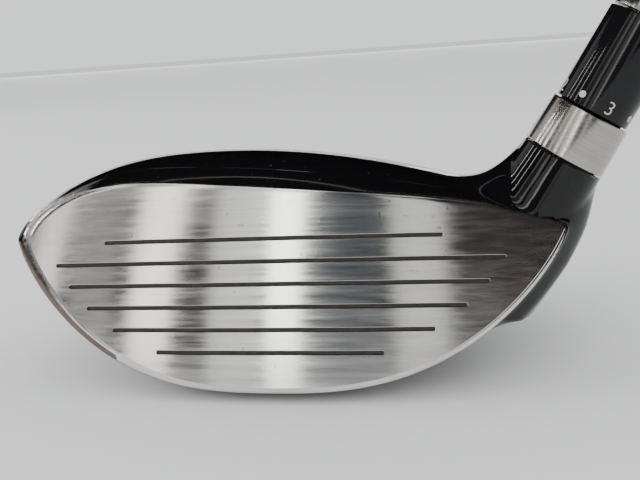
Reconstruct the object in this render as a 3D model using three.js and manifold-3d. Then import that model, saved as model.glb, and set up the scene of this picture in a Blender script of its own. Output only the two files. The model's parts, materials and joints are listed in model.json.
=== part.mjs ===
// A fairway wood golf club with an adjustable hosel, standing at address on a flat floor.
// Millimetres, +Z up. The origin is the middle of the sole's flat rest patch, the face looks
// along -Y, the toe is at -X, and the hosel and shaft lean towards +X.
import * as THREE from 'three';
import Module from 'manifold-3d';
import { mergeVertices } from 'three/addons/utils/BufferGeometryUtils.js';

const wasm = await Module();
wasm.setup();

// ---- Driving dimensions ----
const GAP = 0.3; // clearance kept between neighbouring solids

// Head: depth v is measured backwards from the line where the face plane meets the floor.
const LEADING_Y = -19; // y of that line
const HEAD_CENTRE_X = -0.6;
const HEAD_HALF_WIDTH = 51.4;
const HEAD_DEPTH = 82; // depth of the rearmost point
const PLAN_FULLEST = 17; // depth of the widest section
const PLAN_FRONT_RUN = 40;
const PLAN_POWER = 2.2;
const RIM_FRONT = 28; // height of the widest line at the face
const RIM_BACK = 14;
const CROWN_HEIGHT = 42;
const CROWN_PEAK = 26; // depth of the crown's highest point
const TOP_LINE_HEIGHT = 36.2; // height of the face's top edge
const TOP_LINE_DEPTH = 9.8;
const CROWN_ROLL_POWER = 2.6;
const CROWN_BACK_POWER = 2.3;
const SOLE_LOWEST = 19; // depth of the floor contact
const SOLE_TRIM = 0.25; // how much of the sole's belly the flat patch takes off
const LEADING_EDGE_HEIGHT = 2;
const SOLE_BACK_POWER = 0.6;
const CROWN_SKEW = 0.27; // moves the crown's apex towards the toe
const CROWN_POWERS = [2.2, 1.6]; // across, up
const SOLE_POWERS = [2.7, 1.25];
const WALL = 1.5;
const LEDGE_WALL = 2.5; // crown frame under the crown plate's edge

// Face
const LOFT = THREE.MathUtils.degToRad(15);
const FACE_CENTRE_HEIGHT = 18;
const FACE_RADIUS = 290; // bulge and roll
const FACE_THICK = 2.4;
const GROOVE_HALF_LENGTHS = [31, 41.4, 38.6, 34.8, 29.4, 20.7]; // top to bottom
const GROOVE_TOP = 10.5; // distance of the top groove above the face centre
const GROOVE_PITCH = 4;
const GROOVE_WIDTH = 0.7;
const GROOVE_DEPTH = 0.4;
const GROOVE_CENTRE_X = -1.2;

// Crown plate, a super-ellipse in plan
const PLATE_CENTRE = [-2, 47]; // x, depth
const PLATE_RADII = [43, 27];
const PLATE_POWER = 2.4;
const PLATE_THICK = 0.9;
const PLATE_LEDGE = 4.5;
const LEDGE_SPREAD = 3; // how far the thick frame runs outside the plate
const PLATE_BED_GAP = 0.42; // vertical, so that the sloping edges keep a gap too

// Hosel: t is measured along the hosel axis from the floor.
const LIE = THREE.MathUtils.degToRad(58.5);
const HOSEL_FOOT = [26.7, 19]; // x and depth where the axis meets the floor
const HOSEL_TOP = 45.3;
const NECK_ROOT_T = 30;
const NECK_SPREAD = 1.5; // how much wider the neck is at its root than at its top
const NECK_TAPER_POWER = 1.2;
const HOSEL_WALL = 1.4;
const PIPE_WALL = 1.5;
const BORE_SKIN = 0.7; // wall left between the hosel bore and the back of the face
const NECK_FLARE = 5; // how far the neck's fillet spreads over the crown
const FLARE_RISE = 2.5; // start of the fillet above the neck's root
const FLARE_BITE = 0.6; // how far the fillet reaches into the neck
const ROOT_OVERLAP = 4; // length of neck buried in the head
const SHELF_T = 23; // underside of the shelf that the hosel screw pulls against
const SHELF_THICK = 2.2;
const PORT_RADIUS = 4.8;
const SCREW_RADIUS = 2.5;
const SCREW_LENGTH = 14.5;
const SCREW_HEAD_HEIGHT = 3;
const WASHER_THICK = 0.6;
const RETAINER_THICK = 1;

// Shaft adapter
const SHANK_RADIUS = 5.6; // part of the sleeve that fills the hosel bore
const SPIGOT_RADIUS = 4.1; // threaded lower end of the sleeve
const SPIGOT_LENGTH = 9;
const THREAD_CLEARANCE = 0.3;
const COLLAR_HEIGHT = 8.4;
const COLLAR_LIP = 0.44; // how far the collar's top stands out past the sleeve
const CLIP_PROUD = 0.65; // how far the clip stands out of the shank
const CLIP_HEIGHT = 0.8;
const CLIP_GROOVE_DEPTH = 0.6;
const SLEEVE_SHOULDER = 0.9; // how far the sleeve's top part stands out past its shank
const SLEEVE_HEIGHT = 16.6; // the part above the collar
const BORE_TILT = THREE.MathUtils.degToRad(1); // lean of the shaft bore in the sleeve

// Shaft and grip: lengths along the shaft
const CLUB_LENGTH = 1092;
const TIP_RADIUS = 4.25;
const TIP_PARALLEL = 75;
const TIP_INSERTION = 32.6; // length of shaft inside the sleeve
const BUTT_RADIUS = 7.6;
const SHAFT_WALL = 1.1;
const PLUG_LENGTH = 8;
const PLUG_SETBACK = 2; // plug's foot above the shaft's tip
const TRIM_HEIGHT = 1.6;
const FERRULE_HEIGHT = 22;
const FERRULE_WAIST = 0.4; // how much slimmer the ferrule is at mid height
const FERRULE_WAIST_SHARE = 0.45;
const FERRULE_EDGE = 0.4; // thickness of its top edge
const GRIP_LENGTH = 267;
const GRIP_MOUTH_RADIUS = 9.7;
const GRIP_BUTT_RADIUS = 13.2;
const GRIP_SHOULDER = 14;
const GRIP_LIP = 2; // height of the bevel at the grip's mouth
const GRIP_LIP_DEPTH = 0.7;
const GRIP_TAPER_POWER = 1.3;
const CAP_THICK = 4;
const CAP_DOME = [[1, 0.4], [0.92, 0.75], [0.7, 1]]; // shares of the butt radius and the cap's thickness
const CAP_VENT_RADIUS = 1.3;
const TAPE_THICK = 0.4;
const TAPE_SETBACKS = [3, 2]; // tape inside the grip, from its mouth and from the butt

// Sole weight
const WEIGHT_DEPTH = 58;
const WEIGHT_X = HEAD_CENTRE_X;
const PUCK_RADIUS = 7;
const PUCK_THICK = 5;
const WEIGHT_CUP_WALL = 1.2;
const WEIGHT_CUP_FLOOR = 4;
const WEIGHT_SCREW_RADIUS = 2;
const WEIGHT_SCREW_HEAD = [3.4, 2.2]; // radius, height
const WEIGHT_SCREW_LENGTH = 5.5;
const WEIGHT_DRIVE_RADIUS = 1.9;
const HOSEL_DRIVE_RADIUS = 2.6;
const DRIVE_DEPTH_SHARE = 0.6; // of the screw head's height
const SCREW_CHAMFERS = [0.3, 0.5]; // head, tip
const PUCK_CHAMFER = 0.4;
const CUP_RECESS = 0.6; // keeps the flat cup rim inside the curved sole
const PUCK_RECESS = 0.2; // puck face below the cup's rim
const SCREW_HEAD_RECESS = 0.1; // screw head below the puck's face

// Puddle of tuning glue on the sole's inner side
const GLUE_PLACE = [-16, 24]; // x, depth
const GLUE_RADIUS = 7;
const GLUE_THICK = 2.4;

// Facets
const LOFT_SPAN = 18; // cells over the crown and again under the sole
const FRONT_STATIONS = 11; // from just ahead of the leading edge to past the crown's front roll
const REAR_STATIONS = 8;
const ROUND = 28;
const BEYOND = 70; // reach of the cutting blocks, past the head on every side
const FACE_BLOCK_RISE = 40; // reach of the face blocks up and down the face
const FACE_CELLS = [16, 8]; // cells across and up the face
const GROOVE_CELLS = 8;
const CUT_OUT = 20; // how far a cutter runs out past an open end
const FIRST_STATION = -1.5;
const STATION_BEND = 20; // depth where the rings change from even to closing up
const TAIL_CLEARANCE = 0.05; // keeps the last ring from closing to a point

// ---- Geometry helpers ----
// A closed skin over rings of points with the same count, with a flat fan on each end.
function skin(rings) {
  const count = rings[0].length;
  const positions = rings.flat(2);
  const index = [];
  for (let r = 0; r + 1 < rings.length; r += 1) {
    for (let k = 0; k < count; k += 1) {
      const a = r * count + k;
      const b = r * count + ((k + 1) % count);
      index.push(a, b, b + count, a, b + count, a + count);
    }
  }
  const last = (rings.length - 1) * count;
  for (let k = 1; k + 1 < count; k += 1) {
    index.push(0, k + 1, k);
    index.push(last, last + k, last + k + 1);
  }
  const geometry = new THREE.BufferGeometry();
  geometry.setAttribute('position', new THREE.Float32BufferAttribute(positions, 3));
  geometry.setIndex(index);
  return geometry;
}

function solid(geometry) {
  const bare = geometry.clone();
  bare.deleteAttribute('normal');
  bare.deleteAttribute('uv');
  const merged = mergeVertices(bare, 1e-4);
  return new wasm.Manifold(new wasm.Mesh({
    numProp: 3,
    vertProperties: new Float32Array(merged.attributes.position.array),
    triVerts: new Uint32Array(merged.index.array),
  }));
}

function toGeometry(manifold) {
  const mesh = manifold.getMesh();
  const geometry = new THREE.BufferGeometry();
  geometry.setAttribute('position', new THREE.BufferAttribute(mesh.vertProperties, 3));
  geometry.setIndex(new THREE.BufferAttribute(mesh.triVerts, 1));
  return geometry;
}

// A turned piece about +Z: the outline is a list of [radius, height].
function turned(outline, closes = false) {
  const points = outline.map(([radius, height]) => new THREE.Vector2(radius, height));
  if (closes) points.push(points[0].clone());
  return new THREE.LatheGeometry(points, ROUND).rotateX(Math.PI / 2);
}

function rod(radius, from, to) {
  return turned([[0, from], [radius, from], [radius, to], [0, to]]);
}

function tube(inner, outer, from, to) {
  return turned([[inner, from], [outer, from], [outer, to], [inner, to]], true);
}

// The star-shaped recess of a screw head.
function driveRecess(radius, from, to) {
  const outline = new THREE.Shape();
  const lobes = 6;
  const steps = lobes * 4;
  for (let k = 0; k < steps; k += 1) {
    const angle = (2 * Math.PI * k) / steps;
    const reach = radius * (0.86 + 0.14 * Math.cos(lobes * angle));
    const x = reach * Math.cos(angle);
    const y = reach * Math.sin(angle);
    if (k === 0) outline.moveTo(x, y);
    else outline.lineTo(x, y);
  }
  const geometry = new THREE.ExtrudeGeometry(outline, { depth: to - from, bevelEnabled: false });
  return geometry.translate(0, 0, from);
}

// ---- Head surface ----
function rimHeight(v) {
  return RIM_FRONT - (RIM_FRONT - RIM_BACK) * (Math.max(v, 0) / HEAD_DEPTH) ** 2;
}

function halfWidth(v) {
  const run = v < PLAN_FULLEST ? PLAN_FRONT_RUN : HEAD_DEPTH - PLAN_FULLEST;
  const share = Math.abs(v - PLAN_FULLEST) / run;
  return HEAD_HALF_WIDTH * (1 - share ** PLAN_POWER) ** (1 / PLAN_POWER);
}

function crownRise(v) {
  const peakRise = CROWN_HEIGHT - rimHeight(CROWN_PEAK);
  if (v > CROWN_PEAK) {
    const share = (v - CROWN_PEAK) / (HEAD_DEPTH - CROWN_PEAK);
    return peakRise * Math.sqrt(1 - share ** CROWN_BACK_POWER);
  }
  const frontRise = TOP_LINE_HEIGHT - rimHeight(TOP_LINE_DEPTH);
  const share = (CROWN_PEAK - v) / (CROWN_PEAK - TOP_LINE_DEPTH);
  const rise = peakRise - (peakRise - frontRise) * share ** CROWN_ROLL_POWER;
  return Math.max(rise, 1);
}

function soleDrop(v) {
  if (v > SOLE_LOWEST) {
    const share = (v - SOLE_LOWEST) / (HEAD_DEPTH - SOLE_LOWEST);
    const lift = (RIM_BACK + SOLE_TRIM) * (1 - (1 - share ** 2) ** SOLE_BACK_POWER);
    return rimHeight(v) + SOLE_TRIM - lift;
  }
  const share = (SOLE_LOWEST - v) / SOLE_LOWEST;
  return rimHeight(v) + SOLE_TRIM - (LEADING_EDGE_HEIGHT + SOLE_TRIM) * share ** 2;
}

// Undoes the crown's sideways skew, x' = x + skew (1 - x^2).
function unskew(value) {
  const root = Math.sqrt(1 - 4 * CROWN_SKEW * (value - CROWN_SKEW));
  return (1 - root) / (2 * CROWN_SKEW);
}

// One ring of the head at depth v, drawn inside the surface by inset: heel, crown, toe, sole.
function headRing(v, inset) {
  const width = Math.max(halfWidth(v) - inset, 0.2);
  const rise = Math.max(crownRise(v) - inset, 0.1);
  const drop = Math.max(soleDrop(v) - inset, 0.1);
  const ring = [];
  for (let k = 0; k < 2 * LOFT_SPAN; k += 1) {
    const angle = (Math.PI * k) / LOFT_SPAN;
    const crown = k <= LOFT_SPAN;
    const [across, up] = crown ? CROWN_POWERS : SOLE_POWERS;
    const cos = Math.cos(angle);
    const sin = Math.abs(Math.sin(angle));
    const level = Math.sign(cos) * Math.abs(cos) ** (2 / across);
    const share = crown ? unskew(level) : level;
    const height = sin ** (2 / up);
    const z = rimHeight(v) + (crown ? rise : -drop) * height;
    ring.push([HEAD_CENTRE_X + width * share, LEADING_Y + v, z]);
  }
  return ring;
}

// Depths of the head's rings: even over the front roll, then closing up towards the back.
function stations(last) {
  const depths = [];
  for (let k = 0; k < FRONT_STATIONS; k += 1) {
    depths.push(FIRST_STATION + (STATION_BEND - FIRST_STATION) * (k / FRONT_STATIONS));
  }
  for (let k = 0; k <= REAR_STATIONS; k += 1) {
    const share = Math.sin((Math.PI / 2) * (k / REAR_STATIONS));
    depths.push(STATION_BEND + (last - STATION_BEND) * share);
  }
  return depths;
}

function headLoft(inset) {
  const depths = stations(HEAD_DEPTH - Math.max(inset, 0) - TAIL_CLEARANCE);
  return solid(skin(depths.map((v) => headRing(v, inset)).reverse()));
}

// A point on the face: x across, s up the face from its centre, d behind its surface.
function facePoint(x, s, d) {
  const sag = (x * x + s * s) / (2 * FACE_RADIUS) + d;
  const y = LEADING_Y + FACE_CENTRE_HEIGHT * Math.tan(LOFT);
  return [
    x,
    y + s * Math.sin(LOFT) + sag * Math.cos(LOFT),
    FACE_CENTRE_HEIGHT + s * Math.cos(LOFT) - sag * Math.sin(LOFT),
  ];
}

// The block between two depths behind the face, over a patch of the face.
function faceBlock([x0, x1], [s0, s1], [d0, d1], columns, rows) {
  const rings = [];
  for (let c = 0; c <= columns; c += 1) {
    const x = x0 + ((x1 - x0) * c) / columns;
    const ring = [];
    for (let r = 0; r <= rows; r += 1) ring.push(facePoint(x, s0 + ((s1 - s0) * r) / rows, d0));
    for (let r = rows; r >= 0; r -= 1) ring.push(facePoint(x, s0 + ((s1 - s0) * r) / rows, d1));
    rings.push(ring);
  }
  return solid(skin(rings.reverse()));
}

// An upright prism over the crown plate's outline, drawn inside it by inset: it starts above the rim.
function platePrism(inset, above = 0) {
  const reach = (value) => Math.sign(value) * Math.abs(value) ** (2 / PLATE_POWER);
  const base = [];
  for (let k = 0; k < ROUND; k += 1) {
    const angle = (2 * Math.PI * k) / ROUND;
    const x = PLATE_CENTRE[0] + (PLATE_RADII[0] - inset) * reach(Math.cos(angle));
    const v = PLATE_CENTRE[1] + (PLATE_RADII[1] - inset) * reach(Math.sin(angle));
    base.push([x, LEADING_Y + v, rimHeight(v) + above]);
  }
  return solid(skin([base, base.map(([x, y]) => [x, y, BEYOND])]));
}

// ---- Heights along the hosel axis, stacked from the shelf upwards ----
const BORE_RADIUS = SHANK_RADIUS + GAP;
const HOSEL_TOP_RADIUS = BORE_RADIUS + HOSEL_WALL;
const NECK_ROOT_RADIUS = HOSEL_TOP_RADIUS + NECK_SPREAD;
const SLEEVE_RADIUS = SHANK_RADIUS + SLEEVE_SHOULDER;
const COLLAR_TOP_RADIUS = SLEEVE_RADIUS + COLLAR_LIP;
const CLIP_RADIUS = SHANK_RADIUS + CLIP_PROUD;
const LOWER_BORE_RADIUS = SPIGOT_RADIUS + GAP;
const PIPE_RADIUS = LOWER_BORE_RADIUS + PIPE_WALL;
const SCREW_HOLE_RADIUS = SCREW_RADIUS + GAP;
const RETAINER_T = SHELF_T + SHELF_THICK + GAP;
const SLEEVE_FOOT_T = RETAINER_T + RETAINER_THICK + GAP;
const SHANK_T = SLEEVE_FOOT_T + SPIGOT_LENGTH;
const COLLAR_T = HOSEL_TOP + GAP;
const SHOULDER_T = COLLAR_T + COLLAR_HEIGHT + GAP;
const SLEEVE_TOP_T = SHOULDER_T + SLEEVE_HEIGHT;
const SHAFT_TIP_T = SLEEVE_TOP_T - TIP_INSERTION;
const SHAFT_BORE_RADIUS = TIP_RADIUS + GAP;
const TILT_PIVOT_T = SLEEVE_TOP_T - TIP_INSERTION / 2;
const THREAD_RADIUS = SCREW_RADIUS + THREAD_CLEARANCE;
const CLIP_SEAT_HEIGHT = CLIP_HEIGHT + 2 * GAP;
const CLIP_GROOVE_RADIUS = SHANK_RADIUS - CLIP_GROOVE_DEPTH;

const hoselMatrix = new THREE.Matrix4()
  .makeRotationY(Math.PI / 2 - LIE)
  .setPosition(HOSEL_FOOT[0], LEADING_Y + HOSEL_FOOT[1], 0);

function inHead(geometry) {
  return solid(geometry.clone().applyMatrix4(hoselMatrix));
}

// ---- Sole weight frame: its origin is on the sole and its +Z points into the head ----
function soleHeight(x, v) {
  const share = Math.abs((x - HEAD_CENTRE_X) / halfWidth(v));
  const height = (1 - share ** SOLE_POWERS[0]) ** (1 / SOLE_POWERS[1]);
  return rimHeight(v) - soleDrop(v) * height;
}

function weightMatrix() {
  const step = 0.5;
  const height = (dx, dv) => soleHeight(WEIGHT_X + dx, WEIGHT_DEPTH + dv);
  const acrossRise = height(step, 0) - height(-step, 0);
  const backRise = height(0, step) - height(0, -step);
  const inward = new THREE.Vector3(-acrossRise, -backRise, 2 * step).normalize();
  const turn = new THREE.Quaternion().setFromUnitVectors(new THREE.Vector3(0, 0, 1), inward);
  const place = new THREE.Vector3(WEIGHT_X, LEADING_Y + WEIGHT_DEPTH, height(0, 0));
  return new THREE.Matrix4().compose(place, turn, new THREE.Vector3(1, 1, 1));
}

const CUP_INNER_RADIUS = PUCK_RADIUS + GAP;
const CUP_OUTER_RADIUS = CUP_INNER_RADIUS + WEIGHT_CUP_WALL;
const PUCK_FACE = CUP_RECESS + PUCK_RECESS;
const CUP_FLOOR = PUCK_FACE + PUCK_THICK + GAP;
const CUP_BACK = CUP_FLOOR + WEIGHT_CUP_FLOOR;

// ---- Head solids ----
const head = headLoft(0);

function neckOutline() {
  const steps = 6;
  const outline = [[0, 0], [PIPE_RADIUS, 0], [PIPE_RADIUS, SHELF_T - PIPE_WALL]];
  for (let k = 0; k <= steps; k += 1) {
    const share = k / steps;
    const radius = HOSEL_TOP_RADIUS + NECK_SPREAD * (1 - share) ** NECK_TAPER_POWER;
    outline.push([radius, NECK_ROOT_T + (HOSEL_TOP - NECK_ROOT_T) * share]);
  }
  outline.push([0, HOSEL_TOP]);
  return outline;
}

// The fillet that spreads from the neck over the crown.
function neckFlare() {
  const steps = 5;
  const low = NECK_ROOT_T + FLARE_RISE;
  const foot = NECK_ROOT_T - ROOT_OVERLAP;
  const outline = [[0, foot], [NECK_ROOT_RADIUS + NECK_FLARE, foot]];
  for (let k = 0; k <= steps; k += 1) {
    const angle = (Math.PI / 2) * (k / steps);
    const radius = NECK_ROOT_RADIUS - FLARE_BITE + NECK_FLARE * (1 - Math.sin(angle));
    outline.push([radius, low + NECK_FLARE * (1 - Math.cos(angle))]);
  }
  outline.push([0, low + NECK_FLARE]);
  return turned(outline);
}

// The head's plan outline as an upright prism that starts just below the rim.
function planPrism() {
  const depths = stations(HEAD_DEPTH - 2 * TAIL_CLEARANCE);
  const side = (way) => depths.map((v) => [
    HEAD_CENTRE_X + way * halfWidth(v), LEADING_Y + v, rimHeight(v) - GAP,
  ]);
  const base = side(1).concat(side(-1).reverse());
  return solid(skin([base, base.map(([x, y]) => [x, y, BEYOND])]));
}

const faceSpan = [[-BEYOND, BEYOND], [-FACE_BLOCK_RISE, FACE_BLOCK_RISE]];
const wholeFront = faceBlock(...faceSpan, [-CUT_OUT, FACE_THICK + GAP], ...FACE_CELLS);
const boreSkin = inHead(rod(BORE_RADIUS + BORE_SKIN, SHELF_T, HOSEL_TOP));
const neckFront = headLoft(-GAP).intersect(wholeFront).subtract(boreSkin);

function bodyShell() {
  const ledge = head.subtract(headLoft(LEDGE_WALL)).intersect(platePrism(-LEDGE_SPREAD));
  const bed = head.translate(0, 0, -PLATE_THICK - PLATE_BED_GAP);
  const recess = platePrism(0).subtract(bed);
  const cupSeat = solid(rod(CUP_OUTER_RADIUS + WALL, 0, CUP_FLOOR).applyMatrix4(weightMatrix()));
  const shell = head.subtract(headLoft(WALL)).add(ledge)
    .subtract(platePrism(PLATE_LEDGE))
    .add(cupSeat.intersect(head))
    .subtract(wholeFront);
  const neck = inHead(turned(neckOutline()));
  const neckTop = neck.intersect(inHead(rod(BEYOND, NECK_ROOT_T - ROOT_OVERLAP, HOSEL_TOP + CUT_OUT)));
  const flare = inHead(neckFlare()).intersect(planPrism()).subtract(wholeFront);
  const heel = neckTop.add(neck.intersect(head)).subtract(neckFront);
  const bore = inHead(turned([
    [0, -CUT_OUT], [PORT_RADIUS, -CUT_OUT], [PORT_RADIUS, SHELF_T], [SCREW_HOLE_RADIUS, SHELF_T],
    [SCREW_HOLE_RADIUS, SHELF_T + SHELF_THICK], [LOWER_BORE_RADIUS, SHELF_T + SHELF_THICK],
    [LOWER_BORE_RADIUS, SHANK_T - GAP], [BORE_RADIUS, SHANK_T - GAP],
    [BORE_RADIUS, HOSEL_TOP + CUT_OUT], [0, HOSEL_TOP + CUT_OUT],
  ]));
  const cupHole = solid(rod(CUP_OUTER_RADIUS + GAP, -CUT_OUT, CUP_BACK).applyMatrix4(weightMatrix()));
  const floor = solid(new THREE.BoxGeometry(4 * BEYOND, 4 * BEYOND, CUT_OUT).translate(0, 0, -CUT_OUT / 2));
  const body = shell.add(flare).add(heel).subtract(recess).subtract(bore).subtract(cupHole);
  return toGeometry(body.subtract(floor));
}

function facePlate() {
  const boreRoom = inHead(rod(BORE_RADIUS + BORE_SKIN + GAP, SHELF_T, HOSEL_TOP));
  const slab = faceBlock(...faceSpan, [0, FACE_THICK], ...FACE_CELLS);
  let plate = head.intersect(slab).subtract(boreRoom);
  GROOVE_HALF_LENGTHS.forEach((half, k) => {
    const middle = GROOVE_TOP - k * GROOVE_PITCH;
    const ends = [GROOVE_CENTRE_X - half, GROOVE_CENTRE_X + half];
    const edges = [middle - GROOVE_WIDTH / 2, middle + GROOVE_WIDTH / 2];
    plate = plate.subtract(faceBlock(ends, edges, [-CUT_OUT, GROOVE_DEPTH], GROOVE_CELLS, 1));
  });
  return toGeometry(plate);
}

function crownPlate() {
  const skinLayer = head.subtract(head.translate(0, 0, -PLATE_THICK));
  return toGeometry(skinLayer.intersect(platePrism(GAP, GAP)));
}

// ---- Screws ----
// A socket screw along +Z whose head starts at height from and is entered from below.
function socketScrew(shank, length, [radius, height], from, driveRadius) {
  const [headChamfer, tipChamfer] = SCREW_CHAMFERS;
  const end = from + height + length;
  const outline = [
    [0, from], [radius - headChamfer, from], [radius, from + headChamfer],
    [radius, from + height], [shank, from + height], [shank, end - tipChamfer],
    [shank - tipChamfer, end], [0, end],
  ];
  const recess = driveRecess(driveRadius, from - CUT_OUT, from + DRIVE_DEPTH_SHARE * height);
  return toGeometry(solid(turned(outline)).subtract(solid(recess)));
}

// ---- Shaft solids, in the frame of the tilted bore: z is measured from the tilt pivot ----
const tip = SHAFT_TIP_T - TILT_PIVOT_T;
const butt = CLUB_LENGTH - CAP_THICK - GAP - TILT_PIVOT_T;
const gripMouth = CLUB_LENGTH - GRIP_LENGTH - TILT_PIVOT_T;
const trimFoot = SLEEVE_TOP_T + GAP - TILT_PIVOT_T;
const ferruleFoot = trimFoot + TRIM_HEIGHT + GAP;

function shaftRadius(z) {
  const share = Math.max(z - tip - TIP_PARALLEL, 0) / (butt - tip - TIP_PARALLEL);
  return TIP_RADIUS + (BUTT_RADIUS - TIP_RADIUS) * share;
}

function shaftTube() {
  return turned([
    [TIP_RADIUS, tip], [TIP_RADIUS, tip + TIP_PARALLEL], [BUTT_RADIUS, butt],
    [BUTT_RADIUS - SHAFT_WALL, butt], [TIP_RADIUS - SHAFT_WALL, tip + TIP_PARALLEL],
    [TIP_RADIUS - SHAFT_WALL, tip],
  ], true);
}

// A layer on the shaft between two clearances, from one place along it to another.
function shaftLayer(inner, outer, from, to) {
  return turned([
    [shaftRadius(from) + inner, from], [shaftRadius(from) + outer, from],
    [shaftRadius(to) + outer, to], [shaftRadius(to) + inner, to],
  ], true);
}

function gripBody() {
  const clearance = TAPE_THICK + 2 * GAP;
  const steps = 6;
  const outline = [
    [shaftRadius(butt) + clearance, butt], [shaftRadius(gripMouth) + clearance, gripMouth],
  ];
  const run = butt - GRIP_SHOULDER - gripMouth - GRIP_LIP;
  outline.push([GRIP_MOUTH_RADIUS - GRIP_LIP_DEPTH, gripMouth]);
  for (let k = 0; k <= steps; k += 1) {
    const share = k / steps;
    const radius = GRIP_MOUTH_RADIUS + (GRIP_BUTT_RADIUS - GRIP_MOUTH_RADIUS) * share ** GRIP_TAPER_POWER;
    outline.push([radius, gripMouth + GRIP_LIP + run * share]);
  }
  outline.push([GRIP_BUTT_RADIUS, butt]);
  return turned(outline, true);
}

function gripCap() {
  const foot = butt + GAP;
  return turned([
    [CAP_VENT_RADIUS, foot], [GRIP_BUTT_RADIUS, foot],
    ...CAP_DOME.map(([out, up]) => [out * GRIP_BUTT_RADIUS, foot + up * CAP_THICK]),
    [CAP_VENT_RADIUS, foot + CAP_THICK],
  ], true);
}

function adapterSleeve() {
  const outer = turned([
    [0, SLEEVE_FOOT_T], [SPIGOT_RADIUS, SLEEVE_FOOT_T], [SPIGOT_RADIUS, SHANK_T],
    [SHANK_RADIUS, SHANK_T], [SHANK_RADIUS, COLLAR_T], [CLIP_GROOVE_RADIUS, COLLAR_T],
    [CLIP_GROOVE_RADIUS, COLLAR_T + CLIP_SEAT_HEIGHT], [SHANK_RADIUS, COLLAR_T + CLIP_SEAT_HEIGHT],
    [SHANK_RADIUS, SHOULDER_T], [SLEEVE_RADIUS, SHOULDER_T], [SLEEVE_RADIUS, SLEEVE_TOP_T],
    [0, SLEEVE_TOP_T],
  ]);
  const threads = rod(THREAD_RADIUS, SLEEVE_FOOT_T - CUT_OUT, SHAFT_TIP_T);
  const bore = rod(SHAFT_BORE_RADIUS, tip - GAP, tip + TIP_INSERTION + CUT_OUT);
  bore.applyMatrix4(new THREE.Matrix4().makeRotationY(BORE_TILT));
  bore.translate(0, 0, TILT_PIVOT_T);
  return toGeometry(solid(outer).subtract(solid(threads)).subtract(solid(bore)));
}

function adapterCollar() {
  return turned([
    [CLIP_RADIUS + GAP, COLLAR_T], [HOSEL_TOP_RADIUS, COLLAR_T],
    [COLLAR_TOP_RADIUS, COLLAR_T + COLLAR_HEIGHT], [BORE_RADIUS, COLLAR_T + COLLAR_HEIGHT],
    [BORE_RADIUS, COLLAR_T + CLIP_SEAT_HEIGHT], [CLIP_RADIUS + GAP, COLLAR_T + CLIP_SEAT_HEIGHT],
  ], true);
}

// ---- Materials and meshes ----
function finish(color, roughness, metalness) {
  return new THREE.MeshStandardMaterial({ color, roughness, metalness });
}

const blackPaint = finish(0x0a0a0c, 0.15, 0);
const brushedSteel = finish(0xc9c7c4, 0.35, 1);
const carbon = finish(0x0d0e10, 0.2, 0);
const steel = finish(0xa8a8aa, 0.4, 1);
const satinAluminium = finish(0xb9b6b0, 0.4, 1);
const blackAluminium = finish(0x111113, 0.25, 0.4);
const ferrulePlastic = finish(0x0b0b0b, 0.25, 0);
const shaftPaint = finish(0x17181b, 0.2, 0);
const gripRubber = finish(0x1b1b1c, 0.8, 0);
const tapePaper = finish(0xd9cfae, 0.8, 0);
const nylon = finish(0xe8e6df, 0.5, 0);
const glue = finish(0xc4a05a, 0.4, 0);

function part(name, geometry, material) {
  const mesh = new THREE.Mesh(geometry, material);
  mesh.name = name;
  return mesh;
}

const club = new THREE.Group();
club.add(part('body_shell', bodyShell(), blackPaint));
club.add(part('face_plate', facePlate(), brushedSteel));
club.add(part('crown_plate', crownPlate(), carbon));

const glueFlatness = GLUE_THICK / (2 * GLUE_RADIUS);
const gluePuddle = new THREE.SphereGeometry(GLUE_RADIUS, 16, 8).scale(1, 1, glueFlatness);
const tuningGlue = part('tuning_glue', gluePuddle, glue);
const glueFloor = soleHeight(GLUE_PLACE[0] - GLUE_RADIUS, GLUE_PLACE[1]) + WALL;
tuningGlue.position.set(GLUE_PLACE[0], LEADING_Y + GLUE_PLACE[1], glueFloor + GAP + GLUE_THICK / 2);
club.add(tuningGlue);

const soleWeight = new THREE.Group();
soleWeight.applyMatrix4(weightMatrix());
soleWeight.add(part('weight_port', turned([
  [CUP_OUTER_RADIUS, CUP_RECESS], [CUP_OUTER_RADIUS, CUP_BACK],
  [WEIGHT_SCREW_RADIUS + THREAD_CLEARANCE, CUP_BACK],
  [WEIGHT_SCREW_RADIUS + THREAD_CLEARANCE, CUP_FLOOR],
  [CUP_INNER_RADIUS, CUP_FLOOR], [CUP_INNER_RADIUS, CUP_RECESS],
], true), steel));
const headSeat = PUCK_FACE + SCREW_HEAD_RECESS + WEIGHT_SCREW_HEAD[1] + GAP;
soleWeight.add(part('weight_puck', turned([
  [WEIGHT_SCREW_HEAD[0] + GAP, PUCK_FACE], [PUCK_RADIUS - PUCK_CHAMFER, PUCK_FACE],
  [PUCK_RADIUS, PUCK_FACE + PUCK_CHAMFER], [PUCK_RADIUS, PUCK_FACE + PUCK_THICK],
  [WEIGHT_SCREW_RADIUS + GAP, PUCK_FACE + PUCK_THICK],
  [WEIGHT_SCREW_RADIUS + GAP, headSeat], [WEIGHT_SCREW_HEAD[0] + GAP, headSeat],
], true), steel));
soleWeight.add(part('weight_screw', socketScrew(
  WEIGHT_SCREW_RADIUS, WEIGHT_SCREW_LENGTH, WEIGHT_SCREW_HEAD,
  PUCK_FACE + SCREW_HEAD_RECESS, WEIGHT_DRIVE_RADIUS,
), steel));
club.add(soleWeight);

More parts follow.
